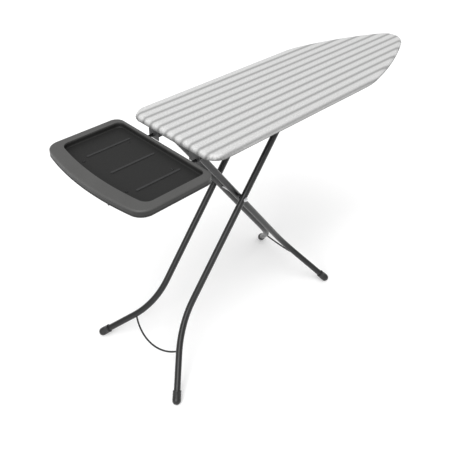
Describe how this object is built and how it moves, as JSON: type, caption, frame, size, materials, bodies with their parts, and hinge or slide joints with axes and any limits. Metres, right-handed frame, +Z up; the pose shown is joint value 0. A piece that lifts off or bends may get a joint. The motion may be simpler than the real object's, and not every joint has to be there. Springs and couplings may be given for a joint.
{
  "type": "ironing board",
  "caption": "Folding ironing board on scissor tube legs, tapered round nose, printed fabric cover, moulded tray for an iron at the square end.",
  "frame": {"origin": "centre of the overall box on the floor", "axes": "+X towards the nose of the board, +Y across it, +Z up; the height lever's grip is on the -Y side"},
  "size_m": [1.706, 0.508, 0.997],
  "materials": {
    "cover_fabric": "matte woven cotton",
    "pad_felt": "soft felt",
    "board_steel": "powder-coated sheet",
    "tube_paint": "satin powder coat",
    "bright_steel": "zinc-plated",
    "foot_rubber": "matte",
    "dark_plastic": "fine grain",
    "tray_plastic": "fine grain",
    "strip_rubber": "matte"
  },
  "bodies": {
    "board": {"cover": "cover_fabric", "pad": "pad_felt", "top_plate": "board_steel", "rim_rear": "board_steel", "rim_near": "board_steel", "rim_far": "board_steel", "strut_middle": "board_steel", "strut_nose": "board_steel", "strut_rear": "board_steel", "rail_near": "board_steel", "rail_far": "board_steel", "tray": "tray_plastic", "tray_strip_near": "strip_rubber", "tray_strip_middle": "strip_rubber", "tray_strip_far": "strip_rubber", "tray_rod_near": "tube_paint", "tray_rod_far": "tube_paint", "tray_rod_plugs_near": "dark_plastic", "tray_rod_plugs_far": "dark_plastic", "rod_clamp_near": "dark_plastic", "rod_clamp_far": "dark_plastic", "tray_saddle_front_near": "dark_plastic", "tray_saddle_front_far": "dark_plastic", "tray_saddle_rear_near": "dark_plastic", "tray_saddle_rear_far": "dark_plastic", "tray_screws": "bright_steel"},
    "inner_leg": {"inner_tube_near": "tube_paint", "inner_foot_near": "foot_rubber", "inner_plug_near": "dark_plastic", "inner_bush_near": "dark_plastic", "inner_tube_far": "tube_paint", "inner_foot_far": "foot_rubber", "inner_plug_far": "dark_plastic", "inner_bush_far": "dark_plastic", "inner_top_bar": "bright_steel", "inner_brace": "tube_paint", "inner_clips": "bright_steel", "pivot_sleeve_near": "dark_plastic", "pivot_sleeve_far": "dark_plastic", "axle": "bright_steel", "axle_spacer_near": "dark_plastic", "axle_spacer_far": "dark_plastic", "axle_cap_near": "bright_steel", "axle_cap_far": "bright_steel"},
    "outer_leg": {"outer_tube_near": "tube_paint", "outer_foot_near": "foot_rubber", "outer_plug_near": "dark_plastic", "outer_bush_near": "dark_plastic", "outer_tube_far": "tube_paint", "outer_foot_far": "foot_rubber", "outer_plug_far": "dark_plastic", "outer_bush_far": "dark_plastic", "outer_top_bar": "bright_steel", "outer_brace": "tube_paint", "outer_clips": "bright_steel"},
    "height_lever": {"height_catch": "bright_steel", "lever_rod": "bright_steel", "lever_grip": "dark_plastic", "lever_collars": "dark_plastic"}
  },
  "joints": [
    {"name": "legs_fold", "type": "hinge", "parent": "board", "child": "inner_leg", "pos_m": [-0.447, 0, 0.94], "axis": [0, -1, 0], "range_deg": [0, 50]},
    {"name": "scissor", "type": "hinge", "parent": "inner_leg", "child": "outer_leg", "pos_m": [-0.2175, 0, 0.62945], "axis": [0, -1, 0], "range_deg": [-100, 0]},
    {"name": "height_lever", "type": "hinge", "parent": "board", "child": "height_lever", "pos_m": [-0.04, 0, 0.945], "axis": [0, -1, 0], "range_deg": [0, 12]}
  ],
  "couplings": [
    {"joint": "scissor", "follows": "legs_fold", "ratio": -2}
  ]
}
